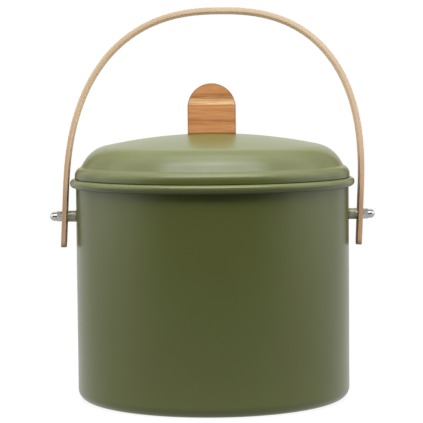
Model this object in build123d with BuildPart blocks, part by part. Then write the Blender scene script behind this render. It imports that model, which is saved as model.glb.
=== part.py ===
"""Kitchen compost bin: a round sheet-steel bucket with a rolled rim, a domed lid with a wooden
knob and a charcoal filter, a lift-out inner bucket, and a bent-wood bail on two bolted pivots.

Millimetres, +Z up. The origin is the centre of the underside of the bucket, and -Y is the front."""

import os
from math import cos, pi, radians, sin, sqrt, tan

from build123d import *

# Bucket: a drawn steel shell with a hollow rolled bead round its mouth
body_radius = 110.0
body_sheet = 0.8
base_corner = 8.5
bead_height = 174.4
bead_radius = 3.4
bead_overhang = 1.3
curl_gap = 0.6

# Lid: a spun steel dome with a rounded flange that stands on the bead
lid_sheet = 0.8
lid_overhang = 0.8
flange_radius = 7.2
skirt_depth = 2.4
crease_radius = 1.5
dome_inset = 7.45
dome_slope = 60.0
dome_rise = 32.8
crown_radius = 414.0
shoulder_radius = 26.7
lid_seat_gap = 0.3

# Collar and seal under the lid
collar_sheet = 0.8
collar_depth = 10.0
collar_mouth_gap = 0.5
seal_height = 3.0

# Vent holes in the crown, behind the knob
vent_diameter = 4.0
vent_ring_radius = 24.0
vent_count = 5
vent_spacing = 20.0

# Filter: a ring under the crown, a charcoal pad, and a grille that turns in the ring to unlock
filter_radius = 62.8
filter_thickness = 7.8
filter_drop = 8.8
frame_wall = 2.5
frame_clearance = 0.7
grille_thickness = 2.5
grille_edge_gap = 0.6
lug_reach = 3.0
lug_thickness = 1.6
lug_angle = 16.0
lug_count = 3
lug_slack = 0.1
notch_slack = 4.0
unlock_angle = 30.0
slot_width = 4.0
slot_pitch = 8.0
slot_margin = 7.0
grille_grip_length = 40.0
grille_grip_height = 6.0
grille_grip_thickness = 3.0
glue_gap = 0.1

# Wooden knob: a block with a half-round top and a finger scoop on both faces
knob_width = 38.7
knob_height = 40.4
knob_thickness = 13.0
scoop_height = 23.4
scoop_radius = 11.0
scoop_angle = 40.0
scoop_cut_margin = 1.0

# Wood screws that hold the knob from under the lid
screw_diameter = 4.0
screw_spacing = 20.0
screw_grip = 15.0
screw_head_diameter = 8.0
screw_head_height = 2.6
screw_head_edge = 0.9
screw_washer_diameter = 10.0
screw_washer_thickness = 1.0
screw_hole_gap = 0.25
thread_gap = 0.02

# Inner bucket: a tapered plastic liner with two finger ears
liner_wall = 1.6
liner_play = 3.4
liner_taper = 8.5
liner_drop = 19.4
liner_corner = 10.0
liner_rim_reach = 3.3
liner_rim_drop = 6.0
ear_height = 18.0
ear_angle = 36.0
ear_thickness = 2.2
ear_slot_length = 40.0
ear_slot_height = 11.0
ear_slot_base = 4.0

# Bail: a bent strip of wood, its arch a superellipse that leans a little to the right
pivot_drop = 26.9
arm_gap = 4.5
arch_spring = 19.5
arch_rise = 164.9
arch_exponent = 2.42
arch_skew = 2.63
arch_lean_back = 3.8
arch_points = 24
strip_width = 22.0
strip_thickness = 3.6
strip_tail = 25.0
strip_end_round = 5.0

# Pivot hardware: bolt, inner washer, spacer and dome nut on each side
bolt_diameter = 5.0
bolt_head_diameter = 9.5
bolt_head_height = 2.8
bolt_head_edge = 1.2
bolt_hole_gap = 0.1
pivot_clearance = 0.08
inner_washer_diameter = 12.0
inner_washer_thickness = 1.0
seat_gap = 0.02
spacer_diameter = 9.0
strip_side_gap = 0.1
nut_across_flats = 8.0
nut_hex_height = 4.3
nut_dome_diameter = 7.5
nut_height = 10.0
nut_bore_depth = 7.6
nut_bore_gap = 0.02
bolt_tip_gap = 0.6

# Heights and radii that follow from the sizes above
wall_inside = body_radius - body_sheet
bead_ring_radius = body_radius + bead_overhang
bead_crest = bead_height + bead_radius
mouth_radius = bead_ring_radius - bead_radius
lid_edge = bead_crest + lid_seat_gap
lid_radius = body_radius + lid_overhang
flange_centre = Vector(lid_radius - flange_radius, lid_edge + skirt_depth)
crown_top = flange_centre.Y + dome_rise
crown_centre = Vector(0, crown_top - crown_radius)
collar_outside = mouth_radius - collar_mouth_gap
pivot_height = bead_height - pivot_drop
arch_half_span = bead_ring_radius + bead_radius + arm_gap
washer_seat = sqrt(wall_inside**2 - (inner_washer_diameter / 2) ** 2) - seat_gap
head_seat = washer_seat - inner_washer_thickness


def crown_height(radius, inset):
    """Height of the crown at a distance from the axis, at a depth under its outer skin."""
    return crown_centre.Y + sqrt((crown_radius - inset) ** 2 - radius**2)


def toward(centre, point, distance):
    """The point that lies at a distance from the centre, on the line to another point."""
    return centre + (point - centre).normalized() * distance


def arc_middle(centre, first, last):
    """The middle of the short arc between two points on a circle."""
    return toward(centre, (first + last) * 0.5, (first - centre).length)


# Lid section: the centres of its arcs, which the outer and the inner skin share
slope = radians(dome_slope)
down_side = Vector(cos(slope), -sin(slope))
side_normal = Vector(sin(slope), cos(slope))
dome_foot_radius = lid_radius - dome_inset
shoulder_r = dome_foot_radius - shoulder_radius * sin(slope)
shoulder_z = crown_centre.Y + sqrt((crown_radius - shoulder_radius) ** 2 - shoulder_r**2)
shoulder_centre = Vector(shoulder_r, shoulder_z)
dome_foot = shoulder_centre + side_normal * shoulder_radius
to_crease = dome_foot + side_normal * crease_radius - flange_centre
along = to_crease.dot(down_side)
reach = flange_radius + crease_radius
crease_run = -along - sqrt(along**2 - to_crease.length**2 + reach**2)
crease_centre = dome_foot + side_normal * crease_radius + down_side * crease_run


def lid_skin(inset):
    """The lid's sheet at a depth under its outer skin: points in order, with arc middles between."""
    top = Vector(0, crown_top - inset)
    crown_end = toward(crown_centre, shoulder_centre, crown_radius - inset)
    side_start = shoulder_centre + side_normal * (shoulder_radius - inset)
    side_end = crease_centre - side_normal * (crease_radius + inset)
    flange_start = toward(flange_centre, crease_centre, flange_radius - inset)
    flange_end = flange_centre + Vector(flange_radius - inset, 0)
    skirt_end = Vector(flange_end.X, lid_edge)
    ThreePointArc(top, arc_middle(crown_centre, top, crown_end), crown_end)
    ThreePointArc(crown_end, arc_middle(shoulder_centre, crown_end, side_start), side_start)
    Line(side_start, side_end)
    ThreePointArc(side_end, arc_middle(crease_centre, side_end, flange_start), flange_start)
    ThreePointArc(flange_start, arc_middle(flange_centre, flange_start, flange_end), flange_end)
    Line(flange_end, skirt_end)
    return top, skirt_end


def arch_point(turn, offset=0.0):
    """A point of the bail's arch, with 0 at its left foot and pi at its right one, moved outwards.

    The middle line is a superellipse on upright arms, sheared sideways, above the pivot axis."""
    power = 2 / arch_exponent
    skew = tan(radians(arch_skew))
    rise = arch_rise - arch_spring
    side = -1 if turn < pi / 2 else 1
    across = abs(cos(turn))
    up = abs(sin(turn))
    height = arch_spring + rise * up**power
    place = side * arch_half_span * across**power + skew * height
    to_side = side * across ** (2 - power) / arch_half_span
    to_top = up ** (2 - power) / rise
    normal = Vector(to_side, to_top - skew * to_side).normalized()
    return Vector(place, height) + normal * offset


os.makedirs("parts", exist_ok=True)
pieces = {}
pivot_line = Plane(origin=(0, 0, pivot_height), x_dir=(0, 1, 0), z_dir=(1, 0, 0))

# Bucket shell: floor, corner and wall in one sheet, which rolls outwards into the bead
with BuildPart() as bucket_shell:
    with BuildSketch(Plane.XZ):
        with BuildLine():
            floor_line = Line((0, 0), (body_radius - base_corner, 0))
            corner_line = JernArc(floor_line @ 1, (1, 0), base_corner, 90)
            wall_line = Line(corner_line @ 1, (body_radius, bead_height))
            top_line = Line(wall_line @ 1, (wall_inside, bead_height))
            inner_wall = Line(top_line @ 1, (wall_inside, base_corner))
            inner_corner = JernArc(inner_wall @ 1, (0, -1), base_corner - body_sheet, -90)
            inner_floor = Line(inner_corner @ 1, (0, body_sheet))
            Line(inner_floor @ 1, (0, 0))
        make_face()
        with Locations((bead_ring_radius, bead_height)):
            Circle(bead_radius)
            Circle(bead_radius - body_sheet, mode=Mode.SUBTRACT)
        with Locations((body_radius + curl_gap / 2, bead_height - bead_radius)):
            Rectangle(curl_gap, 3 * body_sheet, mode=Mode.SUBTRACT)
    revolve(axis=Axis.Z)
    with Locations(pivot_line):
        Cylinder(bolt_diameter / 2 + bolt_hole_gap, 3 * body_radius, mode=Mode.SUBTRACT)
pieces["bucket_shell"] = bucket_shell

# Inner bucket: a tapered liner that stands on the floor, with a turned-down rim and two ears
liner_floor = body_sheet
liner_top = bead_height - liner_drop
liner_height = liner_top - liner_floor
liner_top_radius = head_seat - bolt_head_height - liner_play - liner_rim_reach
liner_base_radius = liner_top_radius - liner_taper
taper = Vector(liner_top_radius - liner_base_radius, liner_height).normalized()
with BuildPart() as inner_bucket:
    with BuildSketch(Plane.XZ):
        with BuildLine():
            FilletPolyline(
                (0, liner_floor),
                (liner_base_radius, liner_floor),
                (liner_top_radius, liner_top),
                radius=liner_corner,
            )
            inner_top = liner_top_radius - liner_wall / taper.Y
            inner_foot = inner_top - (liner_height - liner_wall) * taper.X / taper.Y
            FilletPolyline(
                (0, liner_floor + liner_wall),
                (inner_foot, liner_floor + liner_wall),
                (inner_top, liner_top),
                radius=liner_corner - liner_wall,
            )
            Line((0, liner_floor), (0, liner_floor + liner_wall))
            Line((liner_top_radius, liner_top), (inner_top, liner_top))
        make_face()
        rim_outside = liner_top_radius + liner_rim_reach
        with BuildLine():
            Polyline(
                (liner_top_radius - liner_wall, liner_top),
                (rim_outside, liner_top),
                (rim_outside, liner_top - liner_rim_drop),
                (rim_outside - liner_wall, liner_top - liner_rim_drop),
                (rim_outside - liner_wall, liner_top - liner_wall),
                (liner_top_radius - liner_wall, liner_top - liner_wall),
                close=True,
            )
        make_face()
    revolve(axis=Axis.Z)
    with BuildSketch(Plane.XY.offset(liner_top)):
        ear_span = 2 * liner_top_radius * sin(radians(ear_angle / 2))
        Circle(liner_top_radius)
        Circle(liner_top_radius - ear_thickness, mode=Mode.SUBTRACT)
        Rectangle(ear_span, 2 * liner_top_radius, mode=Mode.INTERSECT)
    extrude(amount=ear_height)
    with BuildSketch(Plane.XZ):
        with Locations((0, liner_top + ear_slot_base + ear_slot_height / 2)):
            SlotOverall(ear_slot_length, ear_slot_height)
    extrude(amount=liner_top_radius, both=True, mode=Mode.SUBTRACT)
pieces["inner_bucket"] = inner_bucket

# Lid shell: one sheet of even thickness under the dome's outline, with vent holes at the back
with BuildPart() as lid_shell:
    with BuildSketch(Plane.XZ):
        with BuildLine():
            outer_top, outer_end = lid_skin(0)
            under_top, under_end = lid_skin(lid_sheet)
            Line(outer_top, under_top)
            Line(outer_end, under_end)
        make_face()
    revolve(axis=Axis.Z)
    with BuildSketch(Plane.XY.offset(crown_top)):
        with PolarLocations(
            vent_ring_radius, vent_count, 90 - vent_spacing * (vent_count - 1) / 2,
            vent_spacing * (vent_count - 1), endpoint=True,
        ):
            Circle(vent_diameter / 2)
        with GridLocations(screw_spacing, 1, 2, 1):
            Circle(screw_diameter / 2 + screw_hole_gap)
    extrude(amount=-(crown_top - lid_edge), mode=Mode.SUBTRACT)
pieces["lid_shell"] = lid_shell

# Collar: a steel band welded under the flange, which centres the lid in the mouth
collar_offset = collar_outside - flange_centre.X
collar_top = flange_centre.Y + sqrt((flange_radius - lid_sheet) ** 2 - collar_offset**2) - glue_gap
collar_height = collar_top - (lid_edge - collar_depth)
with BuildPart() as lid_collar:
    with BuildSketch(Plane.XY.offset(lid_edge - collar_depth)):
        Circle(collar_outside)
        Circle(collar_outside - collar_sheet, mode=Mode.SUBTRACT)
    extrude(amount=collar_height)
pieces["lid_collar"] = lid_collar

# Seal: a soft ring between the collar and the skirt
with BuildPart() as lid_seal:
    with BuildSketch(Plane.XY.offset(lid_edge)):
        Circle(lid_radius - lid_sheet - seat_gap)
        Circle(collar_outside + seat_gap, mode=Mode.SUBTRACT)
    extrude(amount=seal_height)
pieces["lid_seal"] = lid_seal

# Filter ring: bonded under the crown, with lugs at its lower edge that carry the grille
frame_inside = filter_radius + frame_clearance
frame_outside = frame_inside + frame_wall
filter_top = crown_top - filter_drop
filter_base = filter_top - filter_thickness
grille_base = filter_base - grille_thickness
lug_top = grille_base - lug_slack
frame_base = lug_top - lug_thickness
with BuildPart() as filter_frame:
    with BuildSketch(Plane.XZ):
        with BuildLine():
            frame_top = crown_height(frame_outside, lid_sheet) - glue_gap
            Polyline(
                (frame_inside, frame_top),
                (frame_inside, frame_base),
                (frame_outside, frame_base),
                (frame_outside, frame_top),
                close=True,
            )
        make_face()
    revolve(axis=Axis.Z)
    with BuildSketch(Plane.XY.offset(frame_base)):
        with PolarLocations(frame_inside, lug_count):
            lug_width = 2 * frame_inside * sin(radians(lug_angle / 2))
            Rectangle(2 * lug_reach, lug_width)
        Circle(frame_inside + frame_wall / 2, mode=Mode.INTERSECT)
    extrude(amount=lug_thickness)
pieces["filter_frame"] = filter_frame

# Charcoal pad: lies on the grille, inside the ring
with BuildPart() as charcoal_filter:
    with BuildSketch(Plane.XY.offset(filter_base)):
        Circle(filter_radius)
    extrude(amount=filter_thickness)
pieces["charcoal_filter"] = charcoal_filter

# Grille: a slotted disc with notches that pass the lugs, and a bar to turn it by
grille_radius = frame_inside - grille_edge_gap
with BuildPart() as filter_grille:
    with BuildSketch(Plane.XY.offset(grille_base)):
        Circle(grille_radius)
        with PolarLocations(frame_inside, lug_count, unlock_angle):
            notch_width = 2 * frame_inside * sin(radians((lug_angle + notch_slack) / 2))
            Rectangle(2 * (lug_reach + grille_edge_gap), notch_width, mode=Mode.SUBTRACT)
        slot_rows = int((grille_radius - slot_margin) / slot_pitch)
        for row in range(-slot_rows, slot_rows + 1):
            half = sqrt((grille_radius - slot_margin) ** 2 - (row * slot_pitch) ** 2)
            if row != 0 and half > slot_width:
                with Locations((0, row * slot_pitch)):
                    SlotOverall(2 * half, slot_width, mode=Mode.SUBTRACT)
    extrude(amount=grille_thickness)
    with BuildSketch(Plane.XY.offset(grille_base)):
        SlotOverall(grille_grip_length, grille_grip_thickness)
    extrude(amount=-grille_grip_height)
pieces["filter_grille"] = filter_grille

# Knob: its half-round face outline, cut on both faces by the scoop, its foot coped to the crown
knob_half = knob_width / 2
scoop_z = crown_top + scoop_height
scoop_turn = radians(scoop_angle)
scoop_depth = scoop_radius * (1 - cos(scoop_turn))
scoop_end = scoop_z + scoop_radius * sin(scoop_turn)
grip_half = knob_thickness / 2 - scoop_depth
knob_top = crown_top + knob_height
knob_foot = crown_height(Vector(knob_half, knob_thickness / 2).length, 0)
knob_straight = knob_top - knob_half - knob_foot
with BuildPart() as lid_knob:
    with BuildSketch(Plane.XZ):
        with Locations((0, knob_top - knob_half)):
            Circle(knob_half)
        with Locations((0, knob_top - knob_half)):
            Rectangle(knob_width, knob_straight, align=(Align.CENTER, Align.MAX))
    extrude(amount=knob_thickness / 2, both=True)
    for facing in (-1, 1):
        with BuildSketch(Plane.YZ):
            with BuildLine():
                start = Vector(facing * knob_thickness / 2, scoop_z)
                finish = Vector(facing * grip_half, scoop_end)
                centre = Vector(facing * (grip_half + scoop_radius), scoop_end)
                ThreePointArc(start, arc_middle(centre, start, finish), finish)
                Polyline(
                    finish,
                    (facing * grip_half, knob_top + scoop_cut_margin),
                    (facing * knob_thickness, knob_top + scoop_cut_margin),
                    (facing * knob_thickness, scoop_z),
                    start,
                )
            make_face()
        extrude(amount=knob_width, both=True, mode=Mode.SUBTRACT)
    with Locations((0, 0, crown_centre.Y)):
        Sphere(crown_radius + glue_gap / 2, mode=Mode.SUBTRACT)
    with Locations((screw_spacing / 2, 0, crown_top), (-screw_spacing / 2, 0, crown_top)):
        Cylinder(screw_diameter / 2 + thread_gap, 2 * (screw_grip + thread_gap), mode=Mode.SUBTRACT)
pieces["lid_knob"] = lid_knob

# Knob screws and washers: up through the crown into the wood
washer_top = crown_height((screw_spacing + screw_washer_diameter) / 2, lid_sheet) - seat_gap
washer_base = washer_top - screw_washer_thickness
with BuildPart() as knob_washers:
    with BuildSketch(Plane.XY.offset(washer_base)):
        with GridLocations(screw_spacing, 1, 2, 1):
            Circle(screw_washer_diameter / 2)
            Circle(screw_diameter / 2 + screw_hole_gap, mode=Mode.SUBTRACT)
    extrude(amount=screw_washer_thickness)
pieces["knob_washers"] = knob_washers

with BuildPart() as knob_screws:
    with BuildSketch(Plane.XY.offset(washer_base)):
        with GridLocations(screw_spacing, 1, 2, 1):
            Circle(screw_head_diameter / 2)
    extrude(amount=-screw_head_height)
    fillet(knob_screws.edges().group_by(Axis.Z)[0], screw_head_edge)
    with BuildSketch(Plane.XY.offset(washer_base)):
        with GridLocations(screw_spacing, 1, 2, 1):
            Circle(screw_diameter / 2)
    extrude(amount=crown_top + screw_grip - washer_base)
pieces["knob_screws"] = knob_screws

# Bail: the strip's edge outline in its own leaning plane, drawn out to its width
lean_back = radians(arch_lean_back)
lean_side = radians(arch_skew)
arm_direction = Vector(sin(lean_side), cos(lean_side))
bail_plane = Plane(
    origin=(0, 0, pivot_height), x_dir=(1, 0, 0), z_dir=(0, -cos(lean_back), sin(lean_back))
)
turns = [pi * step / arch_points for step in range(arch_points + 1)]
with BuildPart() as bail:
    with BuildSketch(bail_plane):
        with BuildLine():
            outer_arch = [arch_point(turn, strip_thickness / 2) for turn in turns]
            inner_arch = [arch_point(turn, -strip_thickness / 2) for turn in turns]
            Spline(*outer_arch, tangents=[arm_direction, -arm_direction])
            Spline(*inner_arch, tangents=[arm_direction, -arm_direction])
            for end in (0, -1):
                arm_down = arm_direction * -(strip_tail + arch_spring) / arm_direction.Y
                Polyline(
                    outer_arch[end],
                    outer_arch[end] + arm_down,
                    inner_arch[end] + arm_down,
                    inner_arch[end],
                )
        make_face()
    extrude(amount=strip_width / 2, both=True)
    end_corners = bail.edges().filter_by(lambda edge: abs(edge.length - strip_thickness) < seat_gap)
    fillet(end_corners, strip_end_round)
    with Locations(pivot_line):
        Cylinder(bolt_diameter / 2 + pivot_clearance, 3 * arch_half_span, mode=Mode.SUBTRACT)
pieces["bail"] = bail

# Pivots: the strip runs free between the spacer and the dome nut, at its slight skew
strip_half = strip_thickness / 2 / cos(lean_side)
spacer_end = arch_half_span - strip_half - spacer_diameter / 2 * sin(lean_side) - strip_side_gap
nut_corner_radius = nut_across_flats / sqrt(3)
nut_start = arch_half_span + strip_half + nut_corner_radius * sin(lean_side) + strip_side_gap
bolt_tip = nut_start + nut_bore_depth - bolt_tip_gap
dome_radius = nut_dome_diameter / 2
dome_centre = nut_start + nut_height - dome_radius

for side, name in ((-1, "left"), (1, "right")):
    axis_plane = Plane(origin=(0, 0, pivot_height), x_dir=(0, 1, 0), z_dir=(side, 0, 0))
    with BuildPart() as bolt:
        with BuildSketch(axis_plane.offset(head_seat)):
            Circle(bolt_head_diameter / 2)
        extrude(amount=-bolt_head_height)
        fillet(bolt.edges().sort_by(Axis.X)[-1 if side < 0 else 0], bolt_head_edge)
        with BuildSketch(axis_plane.offset(head_seat)):
            Circle(bolt_diameter / 2)
        extrude(amount=bolt_tip - head_seat)
    pieces["pivot_bolt_" + name] = bolt

    with BuildPart() as washer:
        with BuildSketch(axis_plane.offset(head_seat)):
            Circle(inner_washer_diameter / 2)
            Circle(bolt_diameter / 2 + bolt_hole_gap, mode=Mode.SUBTRACT)
        extrude(amount=inner_washer_thickness)
    pieces["inner_washer_" + name] = washer

    with BuildPart() as spacer:
        with BuildSketch(axis_plane.offset(body_radius + seat_gap)):
            Circle(spacer_diameter / 2)
            Circle(bolt_diameter / 2 + bolt_hole_gap, mode=Mode.SUBTRACT)
        extrude(amount=spacer_end - body_radius - seat_gap)
    pieces["pivot_spacer_" + name] = spacer

    with BuildPart() as nut:
        with BuildSketch(axis_plane.offset(nut_start)):
            RegularPolygon(nut_corner_radius, 6)
        extrude(amount=nut_hex_height)
        with BuildSketch(axis_plane.offset(nut_start)):
            Circle(nut_corner_radius)
        extrude(amount=nut_hex_height, mode=Mode.INTERSECT)
        with BuildSketch(axis_plane.offset(nut_start)):
            Circle(dome_radius)
        extrude(amount=dome_centre - nut_start)
        with Locations((side * dome_centre, 0, pivot_height)):
            Sphere(dome_radius)
        with BuildSketch(axis_plane.offset(nut_start)):
            Circle(bolt_diameter / 2 + nut_bore_gap)
        extrude(amount=nut_bore_depth, mode=Mode.SUBTRACT)
    pieces["dome_nut_" + name] = nut

for name, piece in pieces.items():
    piece.part.label = name
    export_step(piece.part, "parts/" + name + ".step")
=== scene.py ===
"""Dresses the kitchen compost bin: painted steel bucket and lid, bamboo knob and bail, bright nuts.

Every length is in metres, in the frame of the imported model: +Z up, the front at -Y."""

import math

import bmesh
import bpy
import numpy as np
from bpy.props import FloatProperty, FloatVectorProperty, IntProperty, PointerProperty
from mathutils import Euler, Matrix, Vector


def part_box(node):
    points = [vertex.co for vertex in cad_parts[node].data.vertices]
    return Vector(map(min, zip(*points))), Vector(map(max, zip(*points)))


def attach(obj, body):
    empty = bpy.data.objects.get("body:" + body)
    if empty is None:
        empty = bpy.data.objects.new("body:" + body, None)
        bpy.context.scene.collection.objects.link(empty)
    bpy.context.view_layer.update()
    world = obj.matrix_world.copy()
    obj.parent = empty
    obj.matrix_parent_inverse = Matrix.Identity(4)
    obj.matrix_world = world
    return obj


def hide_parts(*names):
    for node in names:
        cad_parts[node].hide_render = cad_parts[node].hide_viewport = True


bl_info = {
    "name": "Compost Bin",
    "version": (1, 0, 0),
    "blender": (4, 5, 0),
    "location": "View3D > Sidebar > Compost Bin",
    "description": "Builds the visible surfaces, finishes and studio of a kitchen compost bin",
    "category": "Add Mesh",
}

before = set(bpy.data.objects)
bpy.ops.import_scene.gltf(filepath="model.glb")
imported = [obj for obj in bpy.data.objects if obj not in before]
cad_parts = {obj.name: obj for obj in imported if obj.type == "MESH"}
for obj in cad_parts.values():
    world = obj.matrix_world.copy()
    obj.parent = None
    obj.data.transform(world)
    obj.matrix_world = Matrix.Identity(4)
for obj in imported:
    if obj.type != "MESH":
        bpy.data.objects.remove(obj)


def length(name, description, default):
    """A property that holds a length in metres."""
    return FloatProperty(name=name, description=description, default=default, unit="LENGTH", precision=5)


def angle(name, description, degrees):
    """A property that holds an angle, with its default given in degrees."""
    return FloatProperty(
        name=name, description=description, default=math.radians(degrees), subtype="ANGLE"
    )


def colour(name, description, default):
    """A property that holds a colour, as linear red, green and blue."""
    return FloatVectorProperty(
        name=name, description=description, default=default, subtype="COLOR", min=0.0, max=1.0
    )


def amount(name, description, default):
    """A property that holds a plain number."""
    return FloatProperty(name=name, description=description, default=default, precision=4)


class BucketSizes(bpy.types.PropertyGroup):
    """Sizes of the bucket's sheet, its foot corner and the bead round its mouth."""

    wall_radius: length("Wall radius", "Outside of the straight wall", 0.110)
    sheet: length("Sheet", "Thickness of the steel", 0.0008)
    foot_radius: length("Foot radius", "Outside radius of the foot corner", 0.0085)
    bead_height: length("Bead height", "Height of the middle of the bead", 0.1744)
    bead_radius: length("Bead radius", "Outside radius of the rolled bead", 0.0034)
    bead_overhang: length("Bead overhang", "How far the bead's middle stands out of the wall", 0.0013)
    curl_gap: length("Curl gap", "Gap between the wall and the end of the curl", 0.0006)
    segments: IntProperty(name="Segments", description="Facets round the bucket", default=256)


class LidSizes(bpy.types.PropertyGroup):
    """Sizes of the lid's dome, crease and flange."""

    radius: length("Radius", "Outside of the flange", 0.1108)
    sheet: length("Sheet", "Thickness of the steel", 0.0008)
    edge_height: length("Edge height", "Height of the lid's lower edge", 0.1781)
    skirt_depth: length("Skirt depth", "Straight part of the flange", 0.0024)
    flange_radius: length("Flange radius", "Radius of the flange's roll", 0.0072)
    crease_radius: length("Crease radius", "Radius of the crease over the flange", 0.0015)
    dome_inset: length("Dome inset", "How far the dome's foot lies inside the flange", 0.00745)
    dome_slope: angle("Dome slope", "Slope of the dome's side", 60.0)
    dome_rise: length("Dome rise", "Height of the crown above the flange's middle", 0.0328)
    crown_radius: length("Crown radius", "Radius of the crown", 0.414)
    shoulder_radius: length("Shoulder radius", "Radius of the dome's shoulder", 0.0267)
    vent_radius: length("Vent radius", "Radius of one vent hole", 0.002)
    vent_ring: length("Vent ring", "Radius of the arc of vent holes", 0.024)
    vent_spacing: angle("Vent spacing", "Angle between vent holes", 20.0)
    vent_count: IntProperty(name="Vents", description="Number of vent holes", default=5)


class KnobSizes(bpy.types.PropertyGroup):
    """Sizes of the wooden knob."""

    width: length("Width", "Width of the block", 0.0387)
    height: length("Height", "Height above the crown", 0.0404)
    thickness: length("Thickness", "Thickness of the lower part", 0.013)
    scoop_height: length("Scoop height", "Where the finger scoop begins, above the crown", 0.0234)
    scoop_radius: length("Scoop radius", "Radius of the scoop", 0.0110)
    scoop_angle: angle("Scoop angle", "Steepest slope of the scoop", 40.0)
    scoop_ease: length("Scoop ease", "Rounding of the scoop's lower edge", 0.0004)
    edge: length("Edge", "Rounding of the outline's edges", 0.0007)


class BailSizes(bpy.types.PropertyGroup):
    """Sizes of the bent strip that is the bail."""

    pivot_height: length("Pivot height", "Height of the pivot axis", 0.1475)
    half_span: length("Half span", "From the middle of the arch to each arm", 0.1192)
    spring: length("Spring", "Height of the arch's feet above the pivots", 0.0195)
    rise: length("Rise", "Height of the arch's middle line above the pivots", 0.1649)
    exponent: amount("Exponent", "Squareness of the arch", 2.42)
    skew: angle("Skew", "Sideways lean of the arch", 2.63)
    lean_back: angle("Lean back", "Backward lean at rest", 3.8)
    width: length("Width", "Width of the strip", 0.022)
    thickness: length("Thickness", "Thickness of the strip", 0.0036)
    tail: length("Tail", "Length of the strip below the pivots", 0.025)
    end_round: length("End round", "Radius of the strip's end corners", 0.005)
    edge: length("Edge", "Rounding of the strip's long edges", 0.0004)


class PivotSizes(bpy.types.PropertyGroup):
    """Sizes of the dome nuts and the spacers."""

    across_flats: length("Across flats", "Width of the nut's hexagon", 0.008)
    hex_height: length("Hexagon height", "Height of the nut's hexagon", 0.0043)
    dome_radius: length("Dome radius", "Radius of the nut's dome", 0.00375)
    nut_chamfer: length("Nut chamfer", "Chamfer of the hexagon's corners", 0.00045)
    spacer_chamfer: length("Spacer chamfer", "Chamfer of the spacer's rims", 0.0004)


class Finishes(bpy.types.PropertyGroup):
    """Colours of the finishes."""

    paint: colour("Paint", "Olive powder coat", (0.078, 0.088, 0.0245))
    knob_light: colour("Knob light", "Light grain of the knob", (0.58, 0.272, 0.106))
    knob_dark: colour("Knob dark", "Dark grain of the knob", (0.40, 0.160, 0.052))
    bail_light: colour("Bail light", "Light grain of the bail", (0.70, 0.55, 0.385))
    bail_dark: colour("Bail dark", "Dark grain of the bail", (0.56, 0.40, 0.255))
    end_grain: colour("End grain", "Ends of the strip", (0.23, 0.12, 0.05))
    chrome: colour("Chrome", "Plated nuts", (0.36, 0.35, 0.335))
    spacer: colour("Spacer", "Dull metal of the spacers", (0.52, 0.50, 0.37))
    steel: colour("Steel", "Zinc-plated steel", (0.58, 0.57, 0.55))
    plastic: colour("Plastic", "Plastic of the inner bucket and the filter's ring", (0.03, 0.031, 0.03))
    charcoal: colour("Charcoal", "Felt of the filter", (0.012, 0.012, 0.012))
    seal: colour("Seal", "Soft seal", (0.05, 0.053, 0.035))
    backdrop: colour("Backdrop", "Floor and background", (1.0, 1.0, 1.0))


class StudioSettings(bpy.types.PropertyGroup):
    """Place of the camera and strength of the lamps."""

    distance: length("Distance", "From the bin's axis to the camera", 1.5606)
    height: length("Height", "Height of the camera", 0.2620)
    offset: length("Offset", "Sideways place of the camera", -0.0008)
    pitch: angle("Pitch", "How far the camera looks down", 4.097)
    roll: angle("Roll", "Turn of the camera about its own line of sight", -0.516)
    azimuth: angle("Azimuth", "How far the camera stands round to the right", -0.4)
    focal_length: amount("Focal length", "Focal length on a 36 mm sensor, in millimetres", 164.6)
    key: amount("Key", "Power of the large softbox over the front, in watts", 33.5)
    accent: amount("Accent", "Power of the small softbox over the front, in watts", 3.8)
    top: amount("Top", "Power of the softbox overhead, in watts", 14.0)
    gentle: amount("Gentle", "Power of the softbox over the front for wood and nuts, in watts", 23.0)
    gentle_sides: amount("Gentle sides", "Power of each side softbox for wood and nuts, in watts", 4.0)
    back: amount("Back", "Power of the softbox over the back, in watts", 4.2)
    high_sides: amount("High sides", "Power of the upper softbox on each side, in watts", 9.2)
    low_sides: amount("Low sides", "Power of the lower softbox on each side, in watts", 6.8)
    front_sides: amount("Front sides", "Power of the softbox to each side of the camera, in watts", 1.8)


class BinSettings(bpy.types.PropertyGroup):
    """All settings of the compost bin."""

    bucket: PointerProperty(type=BucketSizes)
    lid: PointerProperty(type=LidSizes)
    knob: PointerProperty(type=KnobSizes)
    bail: PointerProperty(type=BailSizes)
    pivot: PointerProperty(type=PivotSizes)
    finish: PointerProperty(type=Finishes)
    studio: PointerProperty(type=StudioSettings)


# Grids and profiles


def surface(name, grid, sharp=35.0, around=True, attribute=None):
    """A closed mesh from a grid of points, rows along the piece and columns around it.

    Each face joins four neighbours; with around, the last column meets the first. Points that
    coincide, as at a pole, become one, and the faces are turned to point outwards."""
    rows, columns = grid.shape[:2]
    index = np.arange(rows * columns).reshape(rows, columns)
    if around:
        index = np.hstack([index, index[:, :1]])
    quads = np.stack([index[:-1, :-1], index[:-1, 1:], index[1:, 1:], index[1:, :-1]], axis=-1)
    mesh = bpy.data.meshes.new(name)
    mesh.from_pydata(grid.reshape(-1, 3).tolist(), [], quads.reshape(-1, 4).tolist())
    if attribute is not None:
        layer = mesh.attributes.new(attribute[0], "FLOAT_VECTOR", "POINT")
        layer.data.foreach_set("vector", attribute[1].reshape(-1).astype(np.float32))
    tidy_mesh(mesh)
    mesh.shade_smooth()
    mesh.set_sharp_from_angle(angle=math.radians(sharp))
    piece = bpy.data.objects.new(name, mesh)
    bpy.context.collection.objects.link(piece)
    return piece


def tidy_mesh(mesh, gap=2e-7):
    """Joins points that coincide and turns the faces outwards."""
    work = bmesh.new()
    work.from_mesh(mesh)
    bmesh.ops.remove_doubles(work, verts=work.verts, dist=gap)
    bmesh.ops.recalc_face_normals(work, faces=work.faces)
    work.to_mesh(mesh)
    work.free()


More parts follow.
